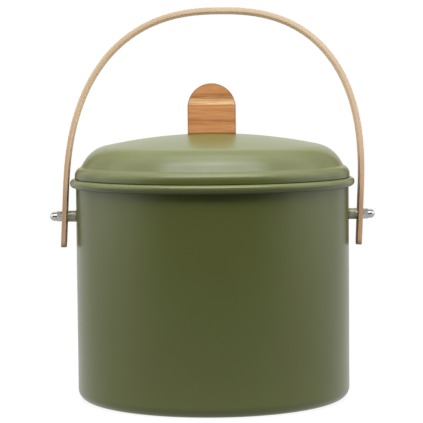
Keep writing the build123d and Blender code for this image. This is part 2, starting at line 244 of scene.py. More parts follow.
def arc(centre, radius, start, end, steps):
    """Points of an arc from one angle to another, in degrees, counted from +r towards +z."""
    turn = np.radians(np.linspace(start, end, steps + 1))
    return np.stack([centre[0] + radius * np.cos(turn), centre[1] + radius * np.sin(turn)], axis=1)


def line(start, end, steps=1):
    """Points of a straight line, its two ends included."""
    share = np.linspace(0, 1, steps + 1)[:, None]
    return np.asarray(start) * (1 - share) + np.asarray(end) * share


def outline(*pieces):
    """Joins stretches of an outline into one list of points, without repeated neighbours."""
    points = np.concatenate([np.atleast_2d(piece) for piece in pieces])
    step = np.linalg.norm(np.diff(points, axis=0), axis=1)
    return points[np.concatenate([[True], step > 1e-7])]


def full_turn(segments):
    """Even angles once round, without the repeated last one."""
    return np.linspace(0, 2 * np.pi, segments, endpoint=False)


def polar(radius, turn, height):
    """A grid of points about the Z axis: x = r cos a, y = r sin a."""
    return np.stack(
        [radius * np.cos(turn), radius * np.sin(turn), height + 0 * radius * turn], axis=-1
    )


def revolved(profile, segments):
    """A grid that turns a profile of radius and height about the Z axis."""
    return polar(profile[:, :1], full_turn(segments), profile[:, 1:])


def along_x(grid, start, direction, height):
    """Turns a grid made about the Z axis onto the pivot axis, starting at a place on X."""
    x, y, z = np.moveaxis(grid, -1, 0)
    return np.stack([start + direction * z, y * direction, x + height], axis=-1)


# Shader maths


class Value:
    """One output of a node, which adds Math nodes when it is used in arithmetic."""

    def __init__(self, tree, socket):
        self.tree = tree
        self.socket = socket

    def maths(self, operation, *operands):
        node = self.tree.nodes.new("ShaderNodeMath")
        node.operation = operation
        for socket, operand in zip(node.inputs, operands):
            connect(self.tree, operand, socket)
        return Value(self.tree, node.outputs[0])

    def __add__(self, other):
        return self.maths("ADD", self, other)

    def __radd__(self, other):
        return self.maths("ADD", other, self)

    def __sub__(self, other):
        return self.maths("SUBTRACT", self, other)

    def __rsub__(self, other):
        return self.maths("SUBTRACT", other, self)

    def __mul__(self, other):
        return self.maths("MULTIPLY", self, other)

    def __truediv__(self, other):
        return self.maths("DIVIDE", self, other)

    def __pow__(self, other):
        return self.maths("POWER", self, other)

    def __abs__(self):
        return self.maths("ABSOLUTE", self)

    def sine(self):
        return self.maths("SINE", self)

    def smooth(self, low, high):
        """0 below low and 1 above high, with a smooth step between."""
        node = self.tree.nodes.new("ShaderNodeMapRange")
        node.interpolation_type = "SMOOTHSTEP"
        connect(self.tree, self, node.inputs["Value"])
        node.inputs["From Min"].default_value = low
        node.inputs["From Max"].default_value = high
        return Value(self.tree, node.outputs[0])


def connect(tree, value, socket):
    """Links a Value to a socket, or sets the socket to a plain number, vector or colour."""
    if isinstance(value, Value):
        tree.links.new(value.socket, socket)
    elif socket.type == "RGBA" and len(value) == 3:
        socket.default_value = (*value, 1.0)
    else:
        socket.default_value = value


class Finish:
    """A material in the making: its tree, its main shader and the nodes that feed it."""

    def __init__(self, name, **constants):
        self.material = bpy.data.materials.new(name)
        self.material.use_nodes = True
        self.tree = self.material.node_tree
        self.tree.nodes.clear()
        self.shader = self.tree.nodes.new("ShaderNodeBsdfPrincipled")
        output = self.tree.nodes.new("ShaderNodeOutputMaterial")
        self.tree.links.new(self.shader.outputs[0], output.inputs["Surface"])
        for socket, value in constants.items():
            self.feed(socket.replace("_", " "), value)

    def feed(self, socket, value):
        """Gives one of the shader's sockets a constant or a link."""
        connect(self.tree, value, self.shader.inputs[socket])

    def node(self, kind, settings=None, inputs=None, output=0):
        """Adds a node of any type, with its settings first and its inputs after them."""
        node = self.tree.nodes.new("ShaderNode" + kind)
        for setting, value in (settings or {}).items():
            if setting == "stops":
                set_stops(node.color_ramp, value)
            else:
                setattr(node, setting, value)
        for socket, value in (inputs or {}).items():
            connect(self.tree, value, node.inputs[socket])
        return Value(self.tree, node.outputs[output])

    def place(self, scale=(1.0, 1.0, 1.0), turn=(0.0, 0.0, 0.0), source=None):
        """Object coordinates, or an attribute, through a Mapping node."""
        if source is None:
            vector = self.node("TexCoord", output="Object")
        else:
            vector = self.node("Attribute", {"attribute_name": source}, output="Vector")
        return self.node("Mapping", inputs={"Vector": vector, "Rotation": turn, "Scale": scale})

    def noise(self, place, scale, detail=3.0, roughness=0.55, distortion=0.0):
        """Noise from 0 to 1."""
        return self.node(
            "TexNoise",
            inputs={
                "Vector": place, "Scale": scale, "Detail": detail, "Roughness": roughness,
                "Distortion": distortion,
            },
        )

    def split(self, vector, axis):
        """One coordinate of a vector."""
        return self.node("SeparateXYZ", inputs={"Vector": vector}, output=axis)

    def mix(self, factor, first, second, blend="MIX"):
        """A mix of two colours."""
        node = self.tree.nodes.new("ShaderNodeMix")
        node.data_type = "RGBA"
        node.blend_type = blend
        connect(self.tree, factor, node.inputs[0])
        connect(self.tree, first, node.inputs[6])
        connect(self.tree, second, node.inputs[7])
        return Value(self.tree, node.outputs[2])

    def tint(self, factor, tone, tint):
        """A colour multiplied by a tint, as far as the factor says."""
        return self.mix(factor, tone, tint, blend="MULTIPLY")

    def bump(self, height, distance, strength=1.0):
        """A bumped normal for the shader."""
        self.feed("Normal", self.node(
            "Bump", inputs={"Height": height, "Distance": distance, "Strength": strength}
        ))

    def on(self, *pieces):
        """Puts the material on pieces, in place of what they have."""
        for piece in pieces:
            piece.data.materials.clear()
            piece.data.materials.append(self.material)
        return self.material


def set_stops(ramp, stops):
    """Gives a colour ramp its stops, each a position and a colour."""
    while len(ramp.elements) < len(stops):
        ramp.elements.new(1.0)
    for element, (position, value) in zip(ramp.elements, stops):
        element.position = position
        element.color = (*value, 1.0)


# Finishes


def shaded(tone, factor):
    """A colour made darker or lighter by a factor."""
    return [value * factor for value in tone]


def between(first, second, share):
    """A colour between two, with this share of the first."""
    return [a * share + b * (1 - share) for a, b in zip(first, second)]


def powder_coat(name, base):
    """Satin powder coat: fine orange peel, a faint mottle in colour and in gloss."""
    finish = Finish(name, Specular_IOR_Level=0.3)
    place = finish.place()
    mottle = finish.noise(place, 38.0, detail=4.0)
    grain = finish.noise(place, 1500.0, detail=2.0)
    peel = finish.noise(place, 620.0, detail=2.0, roughness=0.45)
    tone = finish.mix(mottle, shaded(base, 0.95), shaded(base, 1.05))
    tone = finish.mix(grain.smooth(0.35, 0.75) * 0.12, tone, shaded(base, 1.5))
    finish.feed("Base Color", tone)
    finish.feed("Roughness", 0.265 + mottle * 0.05 + grain * 0.03)
    finish.bump(peel + grain * 0.35, distance=0.00006, strength=0.55)
    return finish


def knob_bamboo(name, colours, sizes, crown):
    """Bamboo block with its fibres across: thin laid strips, fine fibres and short dark pores.

    At the foot of the finger scoop, which is cut across the fibres, a pale band is a painted
    highlight where the surface turns up to the lamps. The outline's rounded edge is a little darker,
    painted shade, and so is a line at the foot, a painted contact shadow where the knob meets the
    lid; both are found from the distance to each."""
    light, dark = colours.knob_light, colours.knob_dark
    laid_strip, highlight_band, rim, fade, blur = 0.0062, 0.0040, 0.0014, 0.0011, 0.0002
    finish = Finish(name, Specular_IOR_Level=0.22)
    place = finish.place(scale=(9.0, 60.0, 230.0))
    wave = finish.noise(finish.place(scale=(14.0, 30.0, 30.0)), 1.0, detail=2.0)
    bands = finish.noise(place, 1.0, detail=3.0, roughness=0.6, distortion=0.35)
    fibres = finish.noise(finish.place(scale=(45.0, 600.0, 2000.0)), 1.0, detail=3.0, roughness=0.75)
    pores = finish.noise(finish.place(scale=(110.0, 900.0, 2200.0)), 1.0, detail=1.0)
    spot = finish.place()
    aside, height = finish.split(spot, "X"), finish.split(spot, "Z")
    strips = (((height * 2 * math.pi / laid_strip) + wave * 2.4).sine() * 0.5 + 0.5).smooth(0.0, 0.12)
    tone = finish.node("ValToRGB", {"stops": [
        (0.41, shaded(dark, 0.8)), (0.50, between(light, dark, 0.5)), (0.59, light)
    ]}, {"Fac": bands * 0.6 + fibres * 0.4})
    tone = finish.mix((1 - strips) * 0.38, tone, dark)
    pores = pores.smooth(0.60, 0.72)
    tone = finish.mix(pores * 0.40, tone, shaded(dark, 0.55))
    start = crown + sizes.scoop_height
    end = start + highlight_band
    # Painted highlight: a pale, greyer band at the foot of the scoop, where the surface turns up to the
    # lamps
    cut = height.smooth(start - blur, start + blur) * (1 - height.smooth(end, end + 6 * blur))
    tone = finish.tint(cut, tone, (1.38, 1.95, 2.65))
    half = sizes.width / 2
    over = height - (crown + sizes.height - half)
    over = over.maths("MAXIMUM", over, 0.0)
    reach = (aside * aside + over * over) ** 0.5
    # Painted shade: the outline's rounded edge is darkened
    edge = reach.smooth(half - rim, half - rim + fade)
    # Painted contact shadow: a dark line at the foot, where the knob meets the lid
    foot = 1 - height.smooth(crown + blur, crown + blur + fade)
    tone = finish.mix(edge * 0.55, tone, shaded(dark, 0.75))
    tone = finish.mix(foot * 0.8, tone, shaded(dark, 0.35))
    finish.feed("Base Color", tone)
    finish.feed("Roughness", 0.5 + fibres * 0.16)
    finish.bump(fibres * 0.6 - pores * 0.6 + strips * 0.15, distance=0.00012, strength=0.5)
    return finish


def bail_bamboo(name, colours, sizes, reach):
    """Bent bamboo strip: long fibres run along it, browner towards its ends, with dark end grain
    and a paler inner skin.

    The strip's own coordinates are the length run from its top, the place across its width and
    the place through its thickness."""
    light, dark = colours.bail_light, colours.bail_dark
    inner_face, skin, browning = -sizes.thickness / 2, 0.0004, 0.12
    finish = Finish(name, Specular_IOR_Level=0.12)
    bands = finish.noise(finish.place(scale=(4.0, 200.0, 420.0), source="strip"), 1.0, detail=2.0)
    fibres = finish.noise(
        finish.place(scale=(8.0, 900.0, 1300.0), source="strip"), 1.0, detail=1.0, roughness=0.5
    )
    patches = finish.noise(finish.place(scale=(16.0, 40.0, 40.0), source="strip"), 1.0, detail=2.0)
    spot = finish.place(source="strip")
    run, through = abs(finish.split(spot, "X")), finish.split(spot, "Z")
    tone = finish.node("ValToRGB", {"stops": [
        (0.38, dark), (0.50, between(light, dark, 0.6)), (0.60, light)
    ]}, {"Fac": bands * 0.5 + fibres * 0.25 + patches * 0.25})
    inside = 1 - through.smooth(inner_face, inner_face + skin)
    tone = finish.tint(inside, tone, (1.3, 1.25, 1.2))
    tone = finish.tint(run.smooth(browning, reach - 0.02), tone, (0.79, 0.66, 0.58))
    cut = run.smooth(reach - 0.0009, reach - 0.0002)
    tone = finish.mix(cut * 0.75, tone, colours.end_grain)
    finish.feed("Base Color", tone)
    finish.feed("Roughness", 0.6 + fibres * 0.12)
    finish.bump(fibres * 0.5 + bands * 0.5, distance=0.00003, strength=0.25)
    return finish


def plated(name, base, roughness, brushed=0.0, metallic=1.0):
    """Plated or turned metal, with faint handling marks."""
    finish = Finish(name, Base_Color=base, Metallic=metallic)
    place = finish.place()
    marks = finish.noise(place, 900.0, detail=3.0)
    finish.feed("Roughness", roughness + marks * 0.08)
    turned = finish.noise(finish.place(scale=(5200.0, 40.0, 40.0)), 1.0, detail=2.0)
    finish.bump(turned * brushed + marks * 0.1, distance=0.00004, strength=0.4)
    return finish


def moulded(name, base, roughness, grain_scale=1400.0):
    """Moulded plastic or rubber, with a fine spark-eroded grain."""
    finish = Finish(name, Specular_IOR_Level=0.4)
    place = finish.place()
    grain = finish.noise(place, grain_scale, detail=2.0)
    cloud = finish.noise(place, 26.0, detail=2.0)
    finish.feed("Base Color", finish.mix(cloud, base, shaded(base, 1.25)))
    finish.feed("Roughness", roughness + grain * 0.1)
    finish.bump(grain, distance=0.00006, strength=0.4)
    return finish


def felt(name, base):
    """Needled felt, dusted with charcoal."""
    finish = Finish(name, Specular_IOR_Level=0.1, Roughness=0.95)
    place = finish.place()
    fluff = finish.noise(place, 700.0, detail=4.0, roughness=0.7)
    finish.feed("Base Color", finish.mix(fluff.smooth(0.3, 0.8), base, shaded(base, 4)))
    finish.bump(fluff, distance=0.0004, strength=0.9)
    return finish


# Profiles of the sheet-steel pieces


def bucket_profile(sizes):
    """Radius and height round the bucket's section: floor, foot corner, outside of the wall, slit
    under the curl, bead, inside of the wall, floor."""
    wall, sheet, foot = sizes.wall_radius, sizes.sheet, sizes.foot_radius
    bead, height = sizes.bead_radius, sizes.bead_height
    ring = wall + sizes.bead_overhang

    def bead_angle(radius):
        return -math.degrees(math.acos((radius - ring) / bead))

    slit_top = height - bead + 2 * sheet
    slit_outside = wall + sizes.curl_gap
    inside = wall - sheet
    over = arc((ring, height), bead, bead_angle(slit_outside), 360 + bead_angle(inside), 56)
    return outline(
        line((0, 0), (wall - foot, 0), 6),
        arc((wall - foot, foot), foot, -90, 0, 14),
        line((wall, foot), (wall, slit_top), 12),
        (slit_outside, slit_top),
        over,
        line(over[-1], (inside, foot), 12),
        arc((wall - foot, foot), foot - sheet, 0, -90, 8),
        line((wall - foot, sheet), (0, sheet), 4),
    )


def lid_arcs(sizes):
    """Centres of the arcs of the lid's section, which are the same for both skins."""
    slope = sizes.dome_slope
    down = np.array([math.cos(slope), -math.sin(slope)])
    out = np.array([math.sin(slope), math.cos(slope)])
    flange = np.array([sizes.radius - sizes.flange_radius, sizes.edge_height + sizes.skirt_depth])
    crown = np.array([0.0, flange[1] + sizes.dome_rise - sizes.crown_radius])
    shoulder_r = sizes.radius - sizes.dome_inset - sizes.shoulder_radius * out[0]
    gap = sizes.crown_radius - sizes.shoulder_radius
    shoulder = np.array([shoulder_r, crown[1] + math.sqrt(gap**2 - shoulder_r**2)])
    start = shoulder + out * (sizes.shoulder_radius + sizes.crease_radius) - flange
    along = float(start @ down)
    reach = sizes.flange_radius + sizes.crease_radius
    crease = flange + start + down * (-along - math.sqrt(along**2 - float(start @ start) + reach**2))
    return crown, shoulder, crease, flange


def lid_skin(sizes, inset):
    """Radius and height along one skin of the lid, from the crown to the lower edge."""
    crown, shoulder, crease, flange = lid_arcs(sizes)
    slope = math.degrees(sizes.dome_slope)
    lean = math.degrees(math.atan2(shoulder[1] - crown[1], shoulder[0]))
    roll = math.degrees(math.atan2(crease[1] - flange[1], crease[0] - flange[0]))
    return outline(
        arc(crown, sizes.crown_radius - inset, 90, lean, 30),
        arc(shoulder, sizes.shoulder_radius - inset, lean, 90 - slope, 24),
        arc(crease, sizes.crease_radius + inset, 270 - slope, 180 + roll, 8),
        arc(flange, sizes.flange_radius - inset, roll, 0, 16),
        line((sizes.radius - inset, flange[1]), (sizes.radius - inset, sizes.edge_height + inset), 2),
    )


def crown_height(sizes, radius):
    """Height of the lid's crown at a distance from the axis."""
    crown = lid_arcs(sizes)[0]
    return crown[1] + np.sqrt(sizes.crown_radius**2 - radius**2)


def lid_profile(sizes):
    """The lid's closed section: outer skin, rounded raw edge, inner skin."""
    outer, inner = lid_skin(sizes, 0.0), lid_skin(sizes, sizes.sheet)
    middle = (sizes.radius - sizes.sheet / 2, sizes.edge_height + sizes.sheet / 2)
    edge = arc(middle, sizes.sheet / 2, 0, -180, 8)
    return outline(outer[:-1], edge, inner[::-1])


# Shapes of the wooden pieces


def scoop_half(sizes, crown, height):
    """Half the knob's thickness at a height: full below the scoop, then a quarter cove to the grip."""
    start = crown + sizes.scoop_height
    end = start + sizes.scoop_radius * math.sin(sizes.scoop_angle)
    grip = sizes.thickness / 2 - sizes.scoop_radius * (1 - math.cos(sizes.scoop_angle))
    below = np.clip(end - height, 0, sizes.scoop_radius)
    cove = grip + sizes.scoop_radius - np.sqrt(sizes.scoop_radius**2 - below**2)
    return np.where(height < start, sizes.thickness / 2, cove)


def knob_grid(sizes, lid):
    """Rows by height, columns round the block.

    At each height the face is a flat of the outline's width, its depth eased at the edge by a
    quarter round: depth = half thickness - (e - sqrt(e^2 - (e - d)^2)), with d the distance to
    the outline. The outline is upright sides under a half circle, and the foot follows the crown."""
    crown = float(crown_height(lid, 0.0))
    half = sizes.width / 2
    top = crown + sizes.height
    centre = top - half
    start = crown + sizes.scoop_height
    foot = float(crown_height(lid, half))
    dome = centre + half * np.sin(np.linspace(0, np.pi / 2, 60))
    heights = np.unique(np.concatenate([
        np.linspace(foot, centre, 14),
        start + np.linspace(-1.2, 1.2, 13) * sizes.scoop_ease,
        np.linspace(start, start + sizes.scoop_radius, 26),
        dome,
    ]))
    rise = np.clip(heights - centre, 0, half)
    reach = np.sqrt(np.clip(half**2 - rise**2, 0, None))
    shifts = np.linspace(-1, 1, 9) * sizes.scoop_ease
    depth = np.mean([scoop_half(sizes, crown, heights + shift) for shift in shifts], axis=0)
    across = np.sin(np.linspace(-np.pi / 2, np.pi / 2, 65))
    x = reach[:, None] * across
    distance = half - np.sqrt(x**2 + rise[:, None] ** 2)
    inside = np.clip(sizes.edge - distance, 0, sizes.edge)
    drop = sizes.edge - np.sqrt(sizes.edge**2 - inside**2)
    face = depth[:, None] - drop
    side = np.linspace(-1, 1, 7)[1:-1]
    edge_depth = face[:, -1:]
    x_loop = np.hstack([x, reach[:, None] + 0 * side, x[:, ::-1], -reach[:, None] + 0 * side])
    y_loop = np.hstack([-face, edge_depth * side, face[:, ::-1], -edge_depth * side])
    z_loop = heights[:, None] + 0 * x_loop
    grid = np.stack([x_loop, y_loop, z_loop], axis=-1)
    cope = crown_height(lid, np.hypot(grid[0, :, 0], grid[0, :, 1])) - foot
    fade = np.clip((centre - heights) / (centre - foot), 0, 1)
    grid[..., 2] += fade[:, None] * cope
    middle = grid[0] * [0, 0, 1]
    middle[:, 2] = crown
    return np.concatenate([middle[None], grid])


def arch_line(sizes, steps):
    """Middle line of the strip in its own plane, with the length run along it from its top.

    A superellipse |x/a|^n + |h/b|^n = 1 on upright arms, sheared sideways by the skew."""
    power = 2 / sizes.exponent
    rise = sizes.rise - sizes.spring
    turn = np.linspace(0, np.pi, steps)
    arch_x = -np.sign(np.cos(turn)) * sizes.half_span * np.abs(np.cos(turn)) ** power
    arch_h = sizes.spring + rise * np.abs(np.sin(turn)) ** power
    arm = np.linspace(-sizes.tail, sizes.spring, 60)[:-1]
    x = np.concatenate([-sizes.half_span + 0 * arm, arch_x, sizes.half_span + 0 * arm])
    h = np.concatenate([arm, arch_h, arm[::-1]])
    x = x + math.tan(sizes.skew) * h
    run = np.concatenate([[0], np.cumsum(np.hypot(np.diff(x), np.diff(h)))])
    even = np.linspace(0, run[-1], steps)
    return np.interp(even, run, x), np.interp(even, run, h), even


def strip_grid(sizes, steps=520):
    """The strip: a rounded rectangle carried along the arch, with rounded ends.

    Near an end, at a distance s, the half width is less by R - sqrt(R^2 - (R - s)^2), and both
    half sizes are less by the same formula with the edge's small radius."""
    x, h, run = arch_line(sizes, 4000)
    total = run[-1]
    ease = sizes.end_round * (1 - np.cos(np.linspace(0, np.pi / 2, 18)))
    s = np.concatenate([ease, np.linspace(sizes.end_round, total - sizes.end_round, steps)[1:-1]])
    s = np.concatenate([s, (total - ease)[::-1]])
    smooth_x = np.interp(s, run, x)
    smooth_h = np.interp(s, run, h)
    step = 0.004
    ahead, behind = np.clip(s + step, 0, total), np.clip(s - step, 0, total)
    tangent = np.stack([
        np.interp(ahead, run, x) - np.interp(behind, run, x),
        np.interp(ahead, run, h) - np.interp(behind, run, h),
    ], axis=1)
    tangent /= np.linalg.norm(tangent, axis=1)[:, None]
    from_end = np.minimum(s, total - s)

    def lost(radius):
        short = np.clip(radius - from_end, 0, radius)
        return radius - np.sqrt(radius**2 - short**2)

    half_width = sizes.width / 2 - lost(sizes.end_round) - lost(sizes.edge)
    half_depth = sizes.thickness / 2 - lost(sizes.edge)
    corner = np.linspace(0, np.pi / 2, 7)
    edge = sizes.edge
    wide, deep = [], []
    for quarter, (sign_w, sign_d) in enumerate([(1, 1), (-1, 1), (-1, -1), (1, -1)]):
        turn = corner + quarter * np.pi / 2
        wide.append((half_width[:, None] - edge) * sign_w + edge * np.cos(turn))
        deep.append((half_depth[:, None] - edge) * sign_d + edge * np.sin(turn))
    wide, deep = np.hstack(wide), np.hstack(deep)
    wide = np.vstack([wide[:1] * 0, wide[:1] * 0.6, wide, wide[-1:] * 0.6, wide[-1:] * 0])
    deep = np.vstack([deep[:1] * 0, deep[:1] * 0.6, deep, deep[-1:] * 0.6, deep[-1:] * 0])
    ends = [0, 0, *range(len(s)), len(s) - 1, len(s) - 1]
    px, ph, tangent, s = smooth_x[ends], smooth_h[ends], tangent[ends], s[ends]
    across = px[:, None] - tangent[:, 1:] * deep
    up = ph[:, None] + tangent[:, :1] * deep
    y = wide * math.cos(sizes.lean_back) + up * math.sin(sizes.lean_back)
    z = up * math.cos(sizes.lean_back) - wide * math.sin(sizes.lean_back)
    grid = np.stack([across, y, z + sizes.pivot_height], axis=-1)
    straight = np.stack([(s - total / 2)[:, None] + 0 * wide, wide, deep], axis=-1)
    return grid, straight, total / 2


# Shapes of the pivot hardware


def nut_grid(sizes, length_out):
    """A dome nut about the Z axis: a chamfered hexagon, a short neck and a half round.

    The hexagon's radius at an angle is a/cos(b), with b the angle from the nearest flat, and the
    chamfer limits it to a cone."""
    turn = full_turn(144)
    flat = sizes.across_flats / 2
    from_flat = (turn + np.pi / 6) % (np.pi / 3) - np.pi / 6
    hexagon = flat / np.cos(from_flat)
    seat = flat * 0.98
    rise = sizes.nut_chamfer * np.linspace(0, 1.4, 6)
    z = np.concatenate([[0], rise, sizes.hex_height - rise[::-1]])
    cone = np.minimum(z, sizes.hex_height - z)[:, None] * math.sqrt(3) + seat
    body = np.minimum(hexagon[None], cone)
    body[0] = 0
    dome = sizes.dome_radius
    up = np.linspace(0, np.pi / 2, 16)
    rings = dome * np.concatenate([[1.03, 0.985, 1.0], np.cos(up)])
    neck_z = sizes.hex_height + np.array([0.0, 0.00012, 0.0004])
    dome_z = length_out - dome + dome * np.sin(up)
    radius = np.vstack([body, rings[:, None] + 0 * turn])
    return polar(radius, turn, np.concatenate([z, neck_z, dome_z])[:, None])


def spacer_profile(radius, long, chamfer):
    """Radius and height of a plain round spacer with broken rims."""
    return outline(
        (0, 0), (radius - chamfer, 0), (radius, chamfer), (radius, long - chamfer),
        (radius - chamfer, long), (0, long),
    )


# Operators


class BIN_OT_stage(bpy.types.Operator):
    """Sets up the floor, the white background, the lamps and the camera"""

    bl_idname = "bin.stage"
    bl_label = "Stage"

    def execute(self, context):
        settings = context.scene.bin
        studio, white = settings.studio, tuple(settings.finish.backdrop)
        build_floor(white, settings.bucket)
        build_world(white)
        build_lamps(studio)
        build_camera(studio)
        context.scene.view_settings.view_transform = "Standard"
        return {"FINISHED"}


class BIN_OT_bucket(bpy.types.Operator):
    """Builds the painted steel bucket with its rolled bead"""

    bl_idname = "bin.bucket"
    bl_label = "Bucket"

    def execute(self, context):
        sizes = context.scene.bin.bucket
        bucket = surface("bucket_steel", revolved(bucket_profile(sizes), sizes.segments))
        powder_coat("olive_powder_coat", context.scene.bin.finish.paint).on(bucket)
        dress(bucket, "bucket", "bucket_shell")
        return {"FINISHED"}


class BIN_OT_lid(bpy.types.Operator):
    """Builds the painted steel lid with its vent holes"""

    bl_idname = "bin.lid"
    bl_label = "Lid"

    def execute(self, context):
        sizes = context.scene.bin.lid
        lid = surface("lid_steel", revolved(lid_profile(sizes), context.scene.bin.bucket.segments))
        pierce(lid, sizes)
        recoat(lid)
        dress(lid, "lid", "lid_shell")
        return {"FINISHED"}


class BIN_OT_knob(bpy.types.Operator):
    """Builds the bamboo knob with its finger scoops"""

    bl_idname = "bin.knob"
    bl_label = "Knob"

    def execute(self, context):
        settings = context.scene.bin
        knob = surface("knob_block", knob_grid(settings.knob, settings.lid), sharp=50.0)
        crown = float(crown_height(settings.lid, 0.0))
        knob_bamboo("knob_bamboo", settings.finish, settings.knob, crown).on(knob)
        light_gently(knob)
        dress(knob, "lid", "lid_knob")
        return {"FINISHED"}


class BIN_OT_bail(bpy.types.Operator):
    """Builds the bent bamboo bail"""

    bl_idname = "bin.bail"
    bl_label = "Bail"

    def execute(self, context):
        settings = context.scene.bin
        grid, straight, reach = strip_grid(settings.bail)
        bail = surface("bail_strip", grid, sharp=50.0, attribute=("strip", straight))
        bail_bamboo("bail_bamboo", settings.finish, settings.bail, reach).on(bail)
        light_gently(bail)
        dress(bail, "bail", "bail")
        return {"FINISHED"}


class BIN_OT_pivots(bpy.types.Operator):
    """Builds the dome nuts and the spacers of both pivots"""

    bl_idname = "bin.pivots"
    bl_label = "Pivots"

    def execute(self, context):
        settings = context.scene.bin
        sizes, height = settings.pivot, settings.bail.pivot_height
        chrome = plated("nut_plate", settings.finish.chrome, 0.17)
        dull = plated("spacer_metal", settings.finish.spacer, 0.4, brushed=1.0, metallic=0.2)
        for side, direction in (("left", -1), ("right", 1)):
            low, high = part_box("dome_nut_" + side)
            start = low.x if direction > 0 else high.x
            grid = nut_grid(sizes, high.x - low.x)
            nut = surface("nut_" + side, along_x(grid, start, direction, height), sharp=28.0)
            chrome.on(nut)
            light_gently(nut)
            dress(nut, "bucket", "dome_nut_" + side)
            low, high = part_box("pivot_spacer_" + side)
            start = low.x if direction > 0 else high.x
            radius = (high.y - low.y) / 2
            profile = spacer_profile(radius, high.x - low.x, sizes.spacer_chamfer)
            spacer = surface("spacer_" + side, along_x(revolved(profile, 96), start, direction, height))
            dull.on(spacer)
            dress(spacer, "bucket", "pivot_spacer_" + side)
        return {"FINISHED"}


class BIN_OT_inside(bpy.types.Operator):
    """Finishes the pieces inside: liner, filter, collar, seal, bolts and screws"""

    bl_idname = "bin.inside"
    bl_label = "Inside"

    def execute(self, context):
        finish = context.scene.bin.finish
        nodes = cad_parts
        recoat(nodes["lid_collar"])
        moulded("liner_plastic", finish.plastic, 0.42).on(nodes["inner_bucket"])
        moulded("filter_plastic", finish.plastic, 0.5).on(nodes["filter_frame"], nodes["filter_grille"])
        moulded("seal_rubber", finish.seal, 0.6, grain_scale=700.0).on(nodes["lid_seal"])
        felt("charcoal_felt", finish.charcoal).on(nodes["charcoal_filter"])
        steel = plated("zinc_steel", finish.steel, 0.28, brushed=0.4)
        fasteners = ["knob_screws", "knob_washers"]
        fasteners += [kind + side for kind in ("pivot_bolt_", "inner_washer_") for side in ("left", "right")]
        steel.on(*[nodes[name] for name in fasteners])
        return {"FINISHED"}


def recoat(piece):
    """Puts the bucket's powder coat on another steel piece."""
    piece.data.materials.clear()
    piece.data.materials.append(bpy.data.materials.get("olive_powder_coat"))


def dress(piece, body, node):
    """Lets a piece ride on its body and stand for its node."""
    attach(piece, body)
    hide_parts(node)


def pierce(lid, sizes):
    """Cuts the vent holes through the crown, behind the knob, and applies the cut."""
    crown, reach = float(crown_height(sizes, 0.0)), 0.01
    hole = sizes.vent_radius
    pin = revolved(np.array([[0, -reach], [hole, -reach], [hole, reach], [0, reach]]), 32)
    tools = []
    for number in range(sizes.vent_count):
        at = math.pi / 2 + (number - (sizes.vent_count - 1) / 2) * sizes.vent_spacing
        middle = [sizes.vent_ring * math.cos(at), sizes.vent_ring * math.sin(at), crown]
        tools.append(surface(f"vent_cutter_{number}", pin + middle))
    for tool in tools:
        cut = lid.modifiers.new("vent", "BOOLEAN")
        cut.operation = "DIFFERENCE"
        cut.solver = "EXACT"
        cut.object = tool
    bpy.context.view_layer.update()
    graph = bpy.context.evaluated_depsgraph_get()
    mesh = bpy.data.meshes.new_from_object(lid.evaluated_get(graph))
    lid.modifiers.clear()
    lid.data = mesh
    mesh.set_sharp_from_angle(angle=math.radians(35.0))
    for tool in tools:
        bpy.data.objects.remove(tool, do_unlink=True)


# Stage


def background_rays(tree, place, low, high):
    """How far a ray shows the white background: camera and transmission rays do all round, and
    glossy rays do from behind the object to beside it, as the place along Y rises from low to high."""
    path = tree.nodes.new("ShaderNodeLightPath")
    camera, clear, glossy = [
        Value(tree, path.outputs[f"Is {kind} Ray"]) for kind in ("Camera", "Transmission", "Glossy")
    ]
    seen = camera.maths("MAXIMUM", camera, clear)
    return seen.maths("MAXIMUM", seen, glossy * place.smooth(low, high))


def build_floor(white, bucket):
    """A large floor: white in the picture, bright behind the object and dull in front of it.

    For the light it gives the object it also glows, which is painted light: behind the object, and in
    a soft ring at the object's foot that begins where the foot's corner leaves the floor, standing in
    for the light a white floor throws back. The glow isn't sampled as a lamp, which would only add
    noise, and the floor lies a hair under the foot."""
    drop, dull, pale = 0.0002, (0.10, 0.10, 0.10), (0.75, 0.75, 0.75)
    inner = bucket.wall_radius - bucket.foot_radius + 0.0005
    crest = bucket.wall_radius + 0.002
    outer = bucket.wall_radius + 0.04
    radius = np.array([0.0, 1.0, 6.0])[:, None]
    floor = surface("floor", polar(radius, full_turn(64), -drop))
    finish = Finish("floor_white", Roughness=0.9, Specular_IOR_Level=0.0)
    tree = finish.tree
    spot = finish.place()
    depth = finish.split(spot, "Y")
    seen = background_rays(tree, depth, -0.7, -0.3)
    finish.feed("Base Color", finish.mix(seen, dull, pale))
    glow = tree.nodes.new("ShaderNodeEmission")
    glow.inputs["Color"].default_value = (*white, 1.0)
    blend = tree.nodes.new("ShaderNodeMixShader")
    # Painted light: away from the camera the floor glows behind the object and in a ring at its foot
    behind = depth.smooth(-0.35, 0.0) * 0.54
    away = finish.node("VectorMath", {"operation": "LENGTH"}, {"Vector": spot}, "Value")
    ring = away.smooth(inner, crest) * (1 - away.smooth(crest, outer))
    floor_glow = behind.maths("MAXIMUM", behind, ring)
    clear = away.smooth(0.2, 0.7) * 0.1 + 0.9
    tree.links.new((seen * clear + (1 - seen) * floor_glow).socket, blend.inputs[0])
    tree.links.new(finish.shader.outputs[0], blend.inputs[1])
    tree.links.new(glow.outputs[0], blend.inputs[2])
    output = next(node for node in tree.nodes if node.type == "OUTPUT_MATERIAL")
    tree.links.new(blend.outputs[0], output.inputs["Surface"])
    finish.on(floor).cycles.emission_sampling = "NONE"


